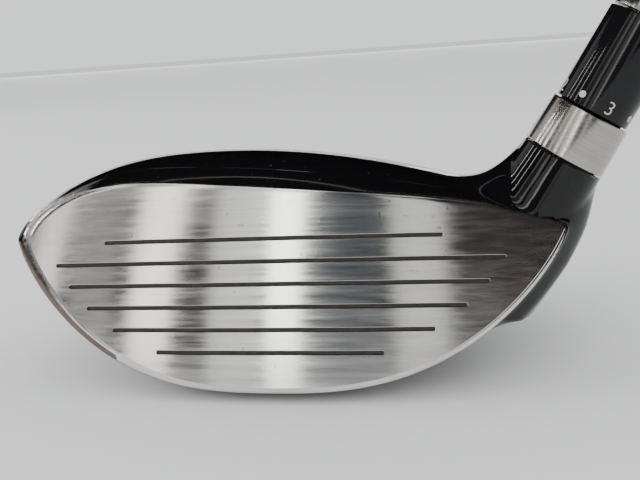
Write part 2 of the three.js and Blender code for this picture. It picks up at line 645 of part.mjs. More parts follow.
const hosel = new THREE.Group();
hosel.applyMatrix4(hoselMatrix);
const washerT = SHELF_T - GAP - WASHER_THICK;
const screwHeadT = washerT - GAP - SCREW_HEAD_HEIGHT;
const screwHeadRadius = PORT_RADIUS - 2 * GAP;
hosel.add(part('hosel_screw', socketScrew(
  SCREW_RADIUS, SCREW_LENGTH, [screwHeadRadius, SCREW_HEAD_HEIGHT],
  screwHeadT, HOSEL_DRIVE_RADIUS,
), steel));
hosel.add(part('screw_washer', tube(
  SCREW_HOLE_RADIUS, PORT_RADIUS - GAP, washerT, washerT + WASHER_THICK,
), steel));
hosel.add(part('screw_retainer', tube(
  SCREW_HOLE_RADIUS, LOWER_BORE_RADIUS - GAP, RETAINER_T, RETAINER_T + RETAINER_THICK,
), nylon));
hosel.add(part('adapter_collar', adapterCollar(), satinAluminium));
hosel.add(part('adapter_sleeve', adapterSleeve(), blackAluminium));
hosel.add(part('collar_clip', tube(
  CLIP_GROOVE_RADIUS + GAP, CLIP_RADIUS, COLLAR_T + GAP, COLLAR_T + GAP + CLIP_HEIGHT,
), steel));

const shaftLine = new THREE.Group();
shaftLine.position.set(0, 0, TILT_PIVOT_T);
shaftLine.rotation.y = BORE_TILT;
shaftLine.add(part('shaft', shaftTube(), shaftPaint));
const plugRadius = TIP_RADIUS - SHAFT_WALL - GAP;
const plugFoot = tip + PLUG_SETBACK;
shaftLine.add(part('tip_plug', rod(plugRadius, plugFoot, plugFoot + PLUG_LENGTH), nylon));
shaftLine.add(part('trim_ring', tube(
  SHAFT_BORE_RADIUS, SLEEVE_RADIUS, trimFoot, trimFoot + TRIM_HEIGHT,
), satinAluminium));
shaftLine.add(part('ferrule', turned([
  [SHAFT_BORE_RADIUS, ferruleFoot], [SLEEVE_RADIUS, ferruleFoot],
  [SLEEVE_RADIUS - FERRULE_WAIST, ferruleFoot + FERRULE_WAIST_SHARE * FERRULE_HEIGHT],
  [SHAFT_BORE_RADIUS + FERRULE_EDGE, ferruleFoot + FERRULE_HEIGHT],
  [SHAFT_BORE_RADIUS, ferruleFoot + FERRULE_HEIGHT],
], true), ferrulePlastic));
const tapeEnds = [gripMouth + TAPE_SETBACKS[0], butt - TAPE_SETBACKS[1]];
shaftLine.add(part('grip_tape', shaftLayer(GAP, GAP + TAPE_THICK, ...tapeEnds), tapePaper));
shaftLine.add(part('grip', gripBody(), gripRubber));
shaftLine.add(part('grip_cap', gripCap(), gripRubber));
hosel.add(shaftLine);
club.add(hosel);

export default club;
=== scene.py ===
import json
import math

import bpy
import numpy as np
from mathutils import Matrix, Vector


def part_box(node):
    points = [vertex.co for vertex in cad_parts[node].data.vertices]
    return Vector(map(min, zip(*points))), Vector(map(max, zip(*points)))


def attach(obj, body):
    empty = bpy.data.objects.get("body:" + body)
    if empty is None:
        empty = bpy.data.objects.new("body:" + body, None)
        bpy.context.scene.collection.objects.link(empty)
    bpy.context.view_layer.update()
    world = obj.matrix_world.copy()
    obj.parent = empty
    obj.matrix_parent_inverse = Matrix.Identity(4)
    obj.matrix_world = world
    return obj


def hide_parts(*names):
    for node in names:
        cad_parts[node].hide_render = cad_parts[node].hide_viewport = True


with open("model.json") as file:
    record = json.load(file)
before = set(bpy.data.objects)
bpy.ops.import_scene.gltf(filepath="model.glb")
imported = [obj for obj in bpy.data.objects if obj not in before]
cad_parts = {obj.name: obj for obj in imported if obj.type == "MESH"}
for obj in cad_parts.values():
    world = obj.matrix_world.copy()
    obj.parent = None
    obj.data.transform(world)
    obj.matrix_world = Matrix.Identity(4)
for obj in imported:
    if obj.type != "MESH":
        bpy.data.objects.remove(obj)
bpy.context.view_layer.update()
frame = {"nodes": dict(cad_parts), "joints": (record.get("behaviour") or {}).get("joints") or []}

import openvdb
from mathutils import Matrix, Vector

MM = 0.001

# ---- Driving dimensions, in millimetres, the same as the part's ----
LEADING_Y = -19.0
HEAD_X = -0.6
HALF_WIDTH = 51.4
DEPTH = 82.0
LOFT = math.radians(15.0)
FACE_HEIGHT = 18.0
FACE_RADIUS = 290.0
FACE_THICK = 2.4
SKEW = 0.27
TOE_TIP_S = 9.8
GROOVE_HALF_LENGTHS = (31.0, 41.4, 38.6, 34.8, 29.4, 20.7)
GROOVE_TOP, GROOVE_PITCH, GROOVE_X = 10.5, 4.0, -1.2
HOSEL_TOP = 45.3
BORE = 5.9
COLLAR_T, COLLAR_TOP_T = 45.6, 54.0
SHOULDER_T, SLEEVE_TOP_T = 54.3, 70.9
SLEEVE_R = 6.5
TILT_PIVOT_T = 54.6
TRIM_Z, FERRULE_Z, GRIP_Z, BUTT_Z, CAP_Z = 16.6, 18.5, 770.4, 1033.1, 1037.4
TIP_Z = -16.3
SHANK_R = 5.6
TIP_BORE_R = 4.55
FERRULE_LENGTH = 22
WALL = 1.5
CROWN_HEIGHT = 42.0
WIDEST_V, HIGHEST_V, LOWEST_V = 17.0, 26.0, 19.0
FACE_TOP_Z, FACE_TOP_V = 36.2, 9.8
OUTER_PITCH, CAVITY_PITCH = 0.6, 1.1
OUTSIDE_SLOPE = 4.0  # with a small slope, a stray horn grows out of the head's back
SEAM = 0.06
CAMERA_PLACE = np.array([36.91, -149.61, 59.61])
VIEW_DIRECTION = np.array([-0.1947, 0.9556, -0.2213])


# ---- Frames ----
def joint(name):
    return next(j for j in frame["joints"] if j["name"] == name)


def frame_from(origin, z_axis, x_hint=(1, 0, 0)):
    z = Vector(z_axis).normalized()
    y = z.cross(Vector(x_hint)).normalized()
    x = y.cross(z)
    turn = Matrix((x, y, z)).transposed()
    return np.array(Matrix.Translation(Vector(origin)) @ turn.to_4x4())


hosel_pos = Vector(joint("sleeve_index")["pos_m"]) / MM
HOSEL = frame_from(hosel_pos, joint("collar_lift")["axis"])
HOSEL_U = HOSEL[:3, 2]
TILT = np.array(Matrix.Translation((0, 0, TILT_PIVOT_T)) @ Matrix.Rotation(math.radians(1), 4, "Y"))
SHAFT = HOSEL @ TILT
weight_joint = joint("weight_screw_turn")
WEIGHT = frame_from(Vector(weight_joint["pos_m"]) / MM, -Vector(weight_joint["axis"]))


def place(points, matrix):
    points = np.asarray(points, float)
    return points @ matrix[:3, :3].T + matrix[:3, 3]


# ---- Meshes ----
def make_mesh(name, points, faces):
    mesh = bpy.data.meshes.new(name)
    mesh.from_pydata((np.asarray(points, float) * MM).tolist(), [], [list(map(int, f)) for f in faces])
    mesh.validate()
    mesh.update()
    return mesh


def boolean(mesh, cutter, operation="DIFFERENCE"):
    a = bpy.data.objects.new("a", mesh)
    b = bpy.data.objects.new("b", cutter)
    for o in (a, b):
        bpy.context.scene.collection.objects.link(o)
    m = a.modifiers.new("cut", "BOOLEAN")
    m.object = b
    m.operation = operation
    m.solver = "MANIFOLD"
    bpy.context.view_layer.update()
    made = bpy.data.meshes.new_from_object(a.evaluated_get(bpy.context.evaluated_depsgraph_get()))
    made.name = mesh.name
    bpy.data.objects.remove(a)
    bpy.data.objects.remove(b)
    if len(made.polygons) == 0:
        raise RuntimeError("an empty boolean on " + mesh.name)
    return made


def shade(mesh, angle=32.0):
    mesh.polygons.foreach_set("use_smooth", np.ones(len(mesh.polygons), bool))
    mesh.set_sharp_from_angle(angle=math.radians(angle))
    mesh.update()


def piece(name, mesh, body, materials, nodes=(), angle=32.0):
    mesh.name = name
    mesh.materials.clear()
    for m in materials:
        mesh.materials.append(m)
    shade(mesh, angle)
    o = bpy.data.objects.new(name, mesh)
    bpy.context.scene.collection.objects.link(o)
    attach(o, body)
    if nodes:
        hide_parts(*nodes)
    return o


def ring_faces(rows, count, loop=False):
    faces = []
    for r in range(rows if loop else rows - 1):
        a, b = r * count, ((r + 1) % rows) * count
        k = np.arange(count)
        n = (k + 1) % count
        faces.append(np.stack([a + k, a + n, b + n, b + k], 1))
    return np.concatenate(faces)


def rounded(profile, radius, steps=4, closed=False):
    """Rounds the corners of a polyline of (radius, height) points."""
    pts = [np.array(p, float) for p in profile]
    out = []
    for i, p in enumerate(pts):
        if not closed and i in (0, len(pts) - 1):
            out.append(p)
            continue
        a, b = pts[i - 1], pts[(i + 1) % len(pts)]
        la, lb = np.linalg.norm(a - p), np.linalg.norm(b - p)
        cut = min(radius, 0.45 * la, 0.45 * lb)
        if cut < 1e-3:
            out.append(p)
            continue
        start, end = p + (a - p) / la * cut, p + (b - p) / lb * cut
        for k in range(steps + 1):
            t = k / steps
            out.append((1 - t) ** 2 * start + 2 * t * (1 - t) * p + t * t * end)
    return out


def lathe(name, profile, matrix, segments=96, closed=False, warp=None):
    """Turns (radius, height) points about the frame's Z. An open profile starts and ends on the axis."""
    prof = np.array(profile, float)
    angle = np.linspace(0, 2 * np.pi, segments, endpoint=False)
    if closed:
        rings = prof
    else:
        rings = prof[1:-1]
    r = np.repeat(rings[:, 0], segments)
    z = np.repeat(rings[:, 1], segments)
    t = np.tile(angle, len(rings))
    if warp is not None:
        r = warp(r, t, z)
    pts = np.stack([r * np.cos(t), r * np.sin(t), z], 1)
    faces = ring_faces(len(rings), segments, closed).tolist()
    if not closed:
        low, high = len(pts), len(pts) + 1
        pts = np.vstack([pts, [0, 0, prof[0, 1]], [0, 0, prof[-1, 1]]])
        k = np.arange(segments)
        n = (k + 1) % segments
        faces += np.stack([np.full(segments, low), n, k], 1).tolist()
        last = (len(rings) - 1) * segments
        faces += np.stack([np.full(segments, high), last + k, last + n], 1).tolist()
    mesh = make_mesh(name, place(pts, matrix), faces)
    return outward(mesh)


def signed_volume(mesh):
    mesh.calc_loop_triangles()
    co = np.zeros(len(mesh.vertices) * 3)
    mesh.vertices.foreach_get("co", co)
    co = co.reshape(-1, 3)
    tri = np.zeros(len(mesh.loop_triangles) * 3, int)
    mesh.loop_triangles.foreach_get("vertices", tri)
    a, b, c = (co[tri.reshape(-1, 3)[:, i]] for i in range(3))
    return float(np.einsum("ij,ij->i", a, np.cross(b, c)).sum())


def outward(mesh):
    if signed_volume(mesh) < 0:
        mesh.flip_normals()
    return mesh


def drive_cutter(name, radius, low, high, matrix):
    """The star-shaped recess of a screw head."""
    angle = np.linspace(0, 2 * np.pi, 72, endpoint=False)
    reach = radius * (0.86 + 0.14 * np.cos(6 * angle))
    rings = []
    for z, share in ((low, 1.0), (high - 0.15, 1.0), (high, 0.75)):
        rings.append(np.stack([share * reach * np.cos(angle), share * reach * np.sin(angle),
                               np.full(72, z)], 1))
    faces = ring_faces(3, 72).tolist() + [list(range(72))[::-1], list(range(144, 216))]
    return outward(make_mesh(name, place(np.vstack(rings), matrix), faces))


# ---- Head surface ----
def rim(v):
    return 28.0 - 14.0 * (np.maximum(v, 0) / DEPTH) ** 2


def half_width(v):
    share = np.abs(v - WIDEST_V) / np.where(v < WIDEST_V, 40.0, DEPTH - WIDEST_V)
    return HALF_WIDTH * np.maximum(1 - share ** 2.2, 1e-6) ** (1 / 2.2)


def crown_rise(v):
    peak = CROWN_HEIGHT - rim(HIGHEST_V)
    behind = np.maximum(v - HIGHEST_V, 0) / (DEPTH - HIGHEST_V)
    back = peak * np.sqrt(np.maximum(1 - behind ** 2.3, 1e-6))
    front = FACE_TOP_Z - rim(FACE_TOP_V)
    roll = peak - (peak - front) * (np.maximum(HIGHEST_V - v, 0) / (HIGHEST_V - FACE_TOP_V)) ** 2.6
    return np.where(v > HIGHEST_V, back, np.maximum(roll, 1.0))


def sole_drop(v):
    back = np.maximum(v - LOWEST_V, 0) / (DEPTH - LOWEST_V)
    lift = 14.25 * (1 - np.maximum(1 - back ** 2, 0) ** 0.6)
    front = np.maximum(LOWEST_V - v, 0) / LOWEST_V
    return rim(v) + 0.25 - np.where(v > LOWEST_V, lift, 2.25 * front ** 2)


def head_raw(p):
    v = np.clip(p[..., 1] - LEADING_Y, -9.0, 81.97)
    over = np.abs(p[..., 1] - LEADING_Y - v)
    width = half_width(v)
    x = (p[..., 0] - HEAD_X) / width
    z = p[..., 2] - rim(v)
    skewed = np.abs(np.where(np.abs(x) < 1, x + SKEW * (1 - x * x), x))
    up = np.maximum(z, 0) / np.maximum(crown_rise(v), 0.05)
    down = np.maximum(-z, 0) / np.maximum(sole_drop(v), 0.05)
    crown = skewed ** 2.2 + up ** 1.6 - 1
    sole = np.abs(x) ** 2.7 + down ** 1.25 - 1
    return np.where(z > 0, crown, sole) + over * OUTSIDE_SLOPE


def gradient(f, p, base, h=0.02):
    g = np.empty(p.shape)
    for i in range(3):
        q = p.copy()
        q[..., i] += h
        g[..., i] = (f(q) - base) / h
    return g


def head_distance(p):
    base = head_raw(p)
    g = np.linalg.norm(gradient(head_raw, p, base), axis=-1)
    return base / np.maximum(g, 0.004)


def face_depth(p):
    """How far a point lies behind the face's surface."""
    x, y, z = p[..., 0], p[..., 1] - LEADING_Y - FACE_HEIGHT * math.tan(LOFT), p[..., 2] - FACE_HEIGHT
    s = y * math.sin(LOFT) + z * math.cos(LOFT)
    back = y * math.cos(LOFT) - z * math.sin(LOFT)
    return back - (x * x + s * s) / (2 * FACE_RADIUS)


def face_point(x, s, d):
    sag = (x * x + s * s) / (2 * FACE_RADIUS) + d
    y = LEADING_Y + FACE_HEIGHT * math.tan(LOFT) + s * math.sin(LOFT) + sag * math.cos(LOFT)
    z = FACE_HEIGHT + s * math.cos(LOFT) - sag * math.sin(LOFT)
    return np.stack(np.broadcast_arrays(x, y, z), -1)


def about(p, matrix):
    """Distance from a frame's Z axis, and height along it."""
    q = (p - matrix[:3, 3]) @ matrix[:3, :3]
    return np.hypot(q[..., 0], q[..., 1]), q[..., 2]


def smooth_step(x, low, high):
    t = np.clip((x - low) / (high - low), 0, 1)
    return t * t * (3 - 2 * t)


def blend_min(a, b, k):
    h = np.maximum(k - np.abs(a - b), 0) / k
    return np.minimum(a, b) - h * h * k / 4


def outer_field(p):
    head = np.maximum(head_distance(p), -1.0 - face_depth(p))
    rho, t = about(p, HOSEL)
    share = np.clip((t - 30.0) / 15.3, 0, 1)
    neck = np.maximum(rho - 7.3 - 1.5 * (1 - share) ** 1.2, np.maximum(t - 48.0, 20.0 - t))
    fillet = 0.3 + 9.0 * smooth_step(face_depth(p), -1.5, 5.0)
    whole = blend_min(head, neck, fillet)
    return -blend_min(-whole, p[..., 2], 0.4)


def cavity_field(p):
    rho, t = about(p, HOSEL)
    cup, up = about(p, WEIGHT)
    pipe = np.where(t < 22.0, 6.2 - rho, 7.6 - rho)
    return np.maximum.reduce([outer_field(p) + WALL, pipe, np.where(up < 10.4, 9.9 - cup, -9.0)])


def isosurface(name, field, low, high, pitch, projections):
    axes = [np.arange(a, b + pitch, pitch) for a, b in zip(low, high)]
    values = np.empty([len(a) for a in axes], np.float32)
    yy, zz = np.meshgrid(axes[1], axes[2], indexing="ij")
    for start in range(0, len(axes[0]), 16):
        xs = axes[0][start:start + 16]
        p = np.empty((len(xs),) + yy.shape + (3,))
        p[..., 0] = xs[:, None, None]
        p[..., 1] = yy
        p[..., 2] = zz
        values[start:start + 16] = field(p)
    grid = openvdb.FloatGrid(3 * pitch)
    grid.copyFromArray(np.clip(values, -3 * pitch, 3 * pitch))
    grid.transform = openvdb.createLinearTransform(voxelSize=pitch)
    points, quads = grid.convertToQuads(0)
    points = np.asarray(points, float) + np.array(low, float)
    for _ in range(projections):
        base = field(points)
        g = gradient(field, points, base, 0.01)
        step = base[:, None] * g / np.maximum((g * g).sum(1), 0.05)[:, None]
        length = np.linalg.norm(step, axis=1, keepdims=True)
        points -= step * np.minimum(1, 0.5 * pitch / np.maximum(length, 1e-9))
    return outward(make_mesh(name, points, np.asarray(quads)))


# ---- Materials ----
class Nodes:
    def __init__(self, name):
        self.material = bpy.data.materials.new(name)
        self.material.use_nodes = True
        self.tree = self.material.node_tree
        self.shader = next(n for n in self.tree.nodes if n.type == "BSDF_PRINCIPLED")
        self.coords = self.tree.nodes.new("ShaderNodeTexCoord").outputs["Object"]

    def new(self, kind, inputs=None, **settings):
        node = self.tree.nodes.new("ShaderNode" + kind)
        for key, value in settings.items():
            setattr(node, key, value)
        for key, value in (inputs or {}).items():
            socket = node.inputs[key]
            if isinstance(value, bpy.types.NodeSocket):
                self.tree.links.new(value, socket)
            else:
                socket.default_value = value
        return node

    def scaled(self, scale, rotation=(0, 0, 0)):
        return self.new("Mapping", {"Vector": self.coords, "Scale": scale, "Rotation": rotation}).outputs[0]

    def noise(self, scale, detail=4.0, vector=None, roughness=0.5):
        inputs = {"Vector": vector or self.coords, "Scale": scale, "Detail": detail, "Roughness": roughness}
        return self.new("TexNoise", inputs).outputs["Fac"]

    def ramp(self, value, stops):
        node = self.new("ValToRGB", {"Fac": value})
        ramp = node.color_ramp
        while len(ramp.elements) < len(stops):
            ramp.elements.new(0.5)
        for element, (at, colour) in zip(ramp.elements, stops):
            element.position = at
            element.color = tuple(colour) + (1.0,)
        return node.outputs["Color"]

    def mix(self, factor, a, b):
        node = self.new("Mix", None, data_type="RGBA")
        for index, value in ((0, factor), (6, a), (7, b)):
            if isinstance(value, bpy.types.NodeSocket):
                self.tree.links.new(value, node.inputs[index])
            else:
                node.inputs[index].default_value = value if index == 0 else tuple(value) + (1.0,)
        return node.outputs[2]

    def remap(self, value, low, high, a=0.0, b=1.0):
        inputs = {"Value": value, "From Min": a, "From Max": b, "To Min": low, "To Max": high}
        return self.new("MapRange", inputs).outputs[0]

    def math(self, operation, a, b=0.0):
        return self.new("Math", {0: a, 1: b}, operation=operation).outputs[0]

    def bump(self, height, strength, distance, normal=None):
        inputs = {"Height": height, "Strength": strength, "Distance": distance}
        if normal is not None:
            inputs["Normal"] = normal
        return self.new("Bump", inputs).outputs[0]

    def out(self, **sockets):
        for key, value in sockets.items():
            socket = self.shader.inputs[key.replace("_", " ")]
            if isinstance(value, bpy.types.NodeSocket):
                self.tree.links.new(value, socket)
            else:
                socket.default_value = value
        return self.material


def gloss_black(name, base=(0.004, 0.004, 0.0045), roughness=(0.045, 0.11)):
    n = Nodes(name)
    dust = n.ramp(n.noise(900.0, 2.0), [(0.70, (0, 0, 0)), (0.76, (1, 1, 1))])
    haze = n.noise(35.0, 3.0)
    colour = n.mix(dust, base, [c + 0.018 for c in base])
    rough = n.mix(dust, n.remap(haze, roughness[0], roughness[1], 0.3, 0.7), (0.3, 0.3, 0.3))
    peel = n.bump(n.noise(420.0, 2.0), 0.02, 0.0004)
    return n.out(Base_Color=colour, Roughness=rough, Normal=peel, Coat_Weight=0.2,
                 Coat_Roughness=0.025, Specular_IOR_Level=0.22)


def brushed_face(name):
    """Steel brushed along X, with dings and scratches, and painted reflections: a warm light one at the toe, a
    dark grey one at the heel and a dark reddish one low at the heel.
    """
    n = Nodes(name)
    along = n.scaled((14.0, 900.0, 900.0))
    fine = n.noise(1.0, 5.0, along, 0.65)
    broad = n.noise(1.0, 3.0, n.scaled((3.0, 260.0, 260.0)), 0.5)
    x = n.new("SeparateXYZ", {"Vector": n.coords}).outputs
    blotch = n.noise(38.0, 3.0, n.scaled((1.0, 0.4, 0.4)))
    specks = n.ramp(n.noise(700.0, 2.0), [(0.70, (0, 0, 0)), (0.76, (1, 1, 1))])
    scratch = n.noise(60.0, 1.0, n.scaled((0.25, 6.0, 6.0), (0, 0.5, 0)), 0.4)
    scratch = n.ramp(scratch, [(0.66, (0, 0, 0)), (0.675, (1, 1, 1)), (0.69, (0, 0, 0))])
    # Masks for the painted reflections: towards the toe, towards the heel, and low on the face.
    toe = n.remap(x[0], 1.0, 0.0, -0.052, -0.018)
    heel = n.remap(x[0], 0.0, 1.0, 0.032, 0.052)
    low = n.remap(x[2], 1.0, 0.0, 0.006, 0.026)
    colour = n.ramp(fine, [(0.25, (0.52, 0.51, 0.50)), (0.5, (0.66, 0.655, 0.645)),
                           (0.78, (0.78, 0.775, 0.765))])
    colour = n.mix(n.remap(blotch, 0.0, 0.22, 0.45, 0.75), colour, (0.50, 0.48, 0.455))
    # Painted reflections: warm light at the toe, dark grey at the heel, dark red low at the heel.
    colour = n.mix(n.math("MULTIPLY", toe, 0.25), colour, (0.80, 0.73, 0.62))
    colour = n.mix(n.math("MULTIPLY", heel, 0.75), colour, (0.30, 0.27, 0.27))
    colour = n.mix(n.math("MULTIPLY", n.math("MULTIPLY", heel, low), 0.75), colour, (0.26, 0.13, 0.12))
    colour = n.mix(n.math("MULTIPLY", specks, 0.35), colour, (0.16, 0.15, 0.14))
    colour = n.mix(n.math("MULTIPLY", scratch, 0.14), colour, (0.85, 0.84, 0.82))
    rough = n.math("ADD", n.remap(fine, 0.13, 0.21, 0.3, 0.7), n.remap(blotch, -0.015, 0.03, 0.3, 0.7))
    normal = n.bump(fine, 0.11, 0.00004)
    normal = n.bump(broad, 0.10, 0.00008, normal)
    normal = n.bump(specks, 0.05, 0.00004, normal)
    tangent = n.new("Tangent", None, direction_type="UV_MAP", uv_map="face").outputs[0]
    return n.out(Base_Color=colour, Roughness=rough, Normal=normal, Metallic=1.0,
                 Anisotropic=0.9, Tangent=tangent)


def steel(name, tint=(0.62, 0.61, 0.59), roughness=(0.16, 0.3), scale=(600.0, 600.0, 60.0)):
    n = Nodes(name)
    grain = n.noise(1.0, 4.0, n.scaled(scale), 0.6)
    blotch = n.noise(90.0, 3.0)
    dark = [c * 0.72 for c in tint]
    colour = n.mix(n.remap(grain, 0.0, 0.6, 0.3, 0.75), tint, dark)
    colour = n.mix(n.remap(blotch, 0.0, 0.35, 0.55, 0.75), colour, [c * 0.55 for c in tint])
    rough = n.remap(grain, roughness[0], roughness[1], 0.3, 0.7)
    normal = n.bump(grain, 0.12, 0.00006)
    return n.out(Base_Color=colour, Roughness=rough, Normal=normal, Metallic=1.0)


def turned_metal(name, tint, roughness, matrix, metallic=1.0, lines=2600.0, specular=0.5):
    """Metal with fine lathe lines round a frame's Z axis."""
    n = Nodes(name)
    local = Matrix(matrix.tolist()).inverted()
    euler = local.to_euler()
    turned = n.new("Mapping", {"Vector": n.coords, "Rotation": tuple(euler)}).outputs[0]
    squeezed = n.new("Mapping", {"Vector": turned, "Scale": (20.0, 20.0, lines)}).outputs[0]
    grain = n.noise(1.0, 3.0, squeezed, 0.6)
    blotch = n.noise(160.0, 3.0)
    colour = n.mix(n.remap(grain, 0.0, 0.5, 0.3, 0.7), tint, [c * 0.7 for c in tint])
    colour = n.mix(n.remap(blotch, 0.0, 0.3, 0.5, 0.8), colour, [c * 0.6 for c in tint])
    rough = n.remap(grain, roughness[0], roughness[1], 0.3, 0.7)
    normal = n.bump(grain, 0.15, 0.00005)
    return n.out(Base_Color=colour, Roughness=rough, Normal=normal, Metallic=metallic,
                 Specular_IOR_Level=specular)


def plastic(name, colour, roughness=(0.3, 0.5), scale=300.0, bump=0.1, coat=0.0):
    n = Nodes(name)
    grain = n.noise(scale, 4.0)
    blotch = n.noise(scale / 8, 3.0)
    shade_ = n.mix(n.remap(grain, 0.0, 0.5, 0.3, 0.7), colour, [c * 0.75 for c in colour])
    shade_ = n.mix(n.remap(blotch, 0.0, 0.3, 0.4, 0.8), shade_, [min(c * 1.25 + 0.01, 1) for c in colour])
    rough = n.remap(grain, roughness[0], roughness[1], 0.3, 0.7)
    return n.out(Base_Color=shade_, Roughness=rough, Normal=n.bump(grain, bump, 0.0001), Coat_Weight=coat)


paint = gloss_black("head_paint")
crown_paint = gloss_black("crown_gloss", (0.005, 0.005, 0.006), (0.04, 0.09))
face_steel = brushed_face("face_steel")
edge_steel = steel("face_edge", (0.80, 0.775, 0.74), (0.10, 0.22), (40.0, 900.0, 900.0))
# Darker copies of the bevel steel that paint light onto the toe's bevel: a dark brown reflection on its outer
# band, and shade as a grey line next to the face.
edge_painted_brown_reflection = steel("edge_painted_brown_reflection", (0.20, 0.16, 0.135), (0.16, 0.30), (40.0, 900.0, 900.0))
edge_painted_shade_line = steel("edge_painted_shade_line", (0.40, 0.385, 0.38), (0.20, 0.35), (40.0, 900.0, 900.0))
# A dark colour for the walls and floors of the grooves.
groove_dark = plastic("groove_dark", (0.035, 0.028, 0.024), (0.5, 0.8), 900.0, 0.4)
raw_steel = steel("raw_steel", (0.42, 0.41, 0.40), (0.35, 0.5))
satin = turned_metal("satin_aluminium", (0.43, 0.41, 0.385), (0.15, 0.25), HOSEL)
sleeve_black = turned_metal("black_aluminium", (0.006, 0.006, 0.007), (0.06, 0.13), HOSEL, 0.0,
                            specular=0.28)
mark_paint = plastic("mark_paint", (0.52, 0.50, 0.44), (0.4, 0.6), 1500.0, 0.1)
screw_steel = turned_metal("screw_steel", (0.50, 0.49, 0.475), (0.25, 0.4), HOSEL)
sole_steel = turned_metal("sole_steel", (0.46, 0.455, 0.44), (0.22, 0.38), WEIGHT)
ferrule_black = plastic("ferrule_black", (0.008, 0.008, 0.009), (0.12, 0.22), 260.0, 0.05, 0.6)
rubber = plastic("grip_rubber", (0.018, 0.018, 0.019), (0.62, 0.85), 1600.0, 0.35)
nylon = plastic("nylon", (0.78, 0.77, 0.72), (0.45, 0.6))
tape = plastic("tape", (0.66, 0.58, 0.42), (0.7, 0.9), 900.0, 0.3)
glue = plastic("glue", (0.55, 0.34, 0.10), (0.15, 0.3), 200.0, 0.2, 0.4)
spring = steel("spring_steel", (0.5, 0.5, 0.5), (0.2, 0.35))


# ---- Head ----
FACE_CENTRE = (-1.0, 0.0)
NEAREST_EDGE, FARTHEST_EDGE, HALVINGS = 5.0, 75.0, 34
EDGE_DROP = 0.07


def face_outline(depth, angles, grow=0.0):
    """Where rays from the face's centre, at one depth behind its surface, leave the head."""
    dx, ds = np.cos(angles), np.sin(angles)
    low, high = np.full(len(angles), NEAREST_EDGE), np.full(len(angles), FARTHEST_EDGE)
    for _ in range(HALVINGS):
        middle = (low + high) / 2
        p = face_point(FACE_CENTRE[0] + dx * middle, FACE_CENTRE[1] + ds * middle, depth)
        inside = head_raw(p) < 0
        low, high = np.where(inside, middle, low), np.where(inside, high, middle)
    reach = (low + high) / 2 + grow
    return FACE_CENTRE[0] + dx * reach, FACE_CENTRE[1] + ds * reach


def shrunk(x, s, share, depth):
    """An outline drawn in towards the face's centre."""
    return face_point(FACE_CENTRE[0] + (x - FACE_CENTRE[0]) * share,
                      FACE_CENTRE[1] + (s - FACE_CENTRE[1]) * share, depth)


def add_fan(points, faces, start, count, depth, flipped):
    """Closes a ring with a fan of triangles at the face's centre, and returns the longer points."""
    k = np.arange(count)
    fan = np.stack([start + k, start + (k + 1) % count, np.full(count, len(points))], 1)
    faces += (fan[:, ::-1] if flipped else fan).tolist()
    centre = face_point(np.array([FACE_CENTRE[0]]), np.array([FACE_CENTRE[1]]), depth)
    return np.vstack([points, centre])


def even_angles(count):
    """Ray angles that space the face's outline evenly."""
    fine = np.linspace(0, 2 * np.pi, 6000, endpoint=False)
    x, s = face_outline(0.0, fine)
    step = np.hypot(np.diff(x, append=x[0]), np.diff(s, append=s[0]))
    run = np.concatenate([[0], np.cumsum(step)])
    wanted = np.linspace(0, run[-1], count, endpoint=False)
    return np.interp(wanted, run, np.append(fine, 2 * np.pi))


CUTTER_GROW = 0.03


def front_cutter(name, back, count=720):
    """A closed block that holds everything of the head in front of a depth behind the face."""
    angles = even_angles(count)
    depths = np.linspace(-1.9, back, 36)
    rings = []
    for d in depths:
        x, s = face_outline(d, angles, CUTTER_GROW)
        rings.append(face_point(x, s, d))
    points = np.vstack(rings)
    faces = ring_faces(len(depths), count).tolist()
    for d, first in ((depths[0], 0), (depths[-1], (len(depths) - 1) * count)):
        x, s = face_outline(d, angles, CUTTER_GROW)
        start = first
        for share in (0.9, 0.75, 0.55, 0.3, 0.1):
            new = len(points)
            points = np.vstack([points, shrunk(x, s, share, d)])
            k = np.arange(count)
            n = (k + 1) % count
            strip = np.stack([start + k, start + n, new + n, new + k], 1)
            faces += (strip[:, ::-1] if first == 0 else strip).tolist()
            start = new
        points = add_fan(points, faces, start, count, d, first == 0)
    return outward(make_mesh(name, points, faces))


def plate_prism(name, inset):
    """An upright block over the crown plate's outline."""
    angle = np.linspace(0, 2 * np.pi, 360, endpoint=False)
    reach = lambda c: np.sign(c) * np.abs(c) ** (2 / 2.4)
    x = -2.0 + (43.0 - inset) * reach(np.cos(angle))
    v = 47.0 + (27.0 - inset) * reach(np.sin(angle))
    low = np.stack([x, LEADING_Y + v, rim(v) + 0.5], 1)
    high = low.copy()
    high[:, 2] = 60.0
    faces = ring_faces(2, 360).tolist() + [list(range(360))[::-1], list(range(360, 720))]
    return outward(make_mesh(name, np.vstack([low, high]), faces))


def moved(mesh, offset):
    copy = mesh.copy()
    copy.transform(Matrix.Translation(Vector(offset) * MM))
    return copy


shell_low, shell_high = (Vector(c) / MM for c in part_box("body_shell"))
margin = (4.0, 8.0, 4.0)
low = [a - b for a, b in zip(shell_low, margin)]
high = [a + b for a, b in zip(shell_high, margin)]
outer = isosurface("outer", outer_field, low, high, OUTER_PITCH, 5)
cavity = isosurface("cavity", cavity_field, low, high, CAVITY_PITCH, 2)

top_trim = lathe("top_trim", [(0, 45.3), (7.12, 45.3), (7.4, 45.0), (22, 45.0), (22, 62), (0, 62)], HOSEL)
bore = lathe("bore", [
    (0, -25), (4.8, -25), (4.8, 23), (2.8, 23), (2.8, 25.2), (4.4, 25.2), (4.4, 35.5),
    (BORE, 35.5), (BORE, 45.0), (6.15, 45.35), (6.15, 62), (0, 62)], HOSEL)
cup_hole = lathe("cup_hole", [(0, -12), (8.75, -12), (8.75, 10.1), (0, 10.1)], WEIGHT)

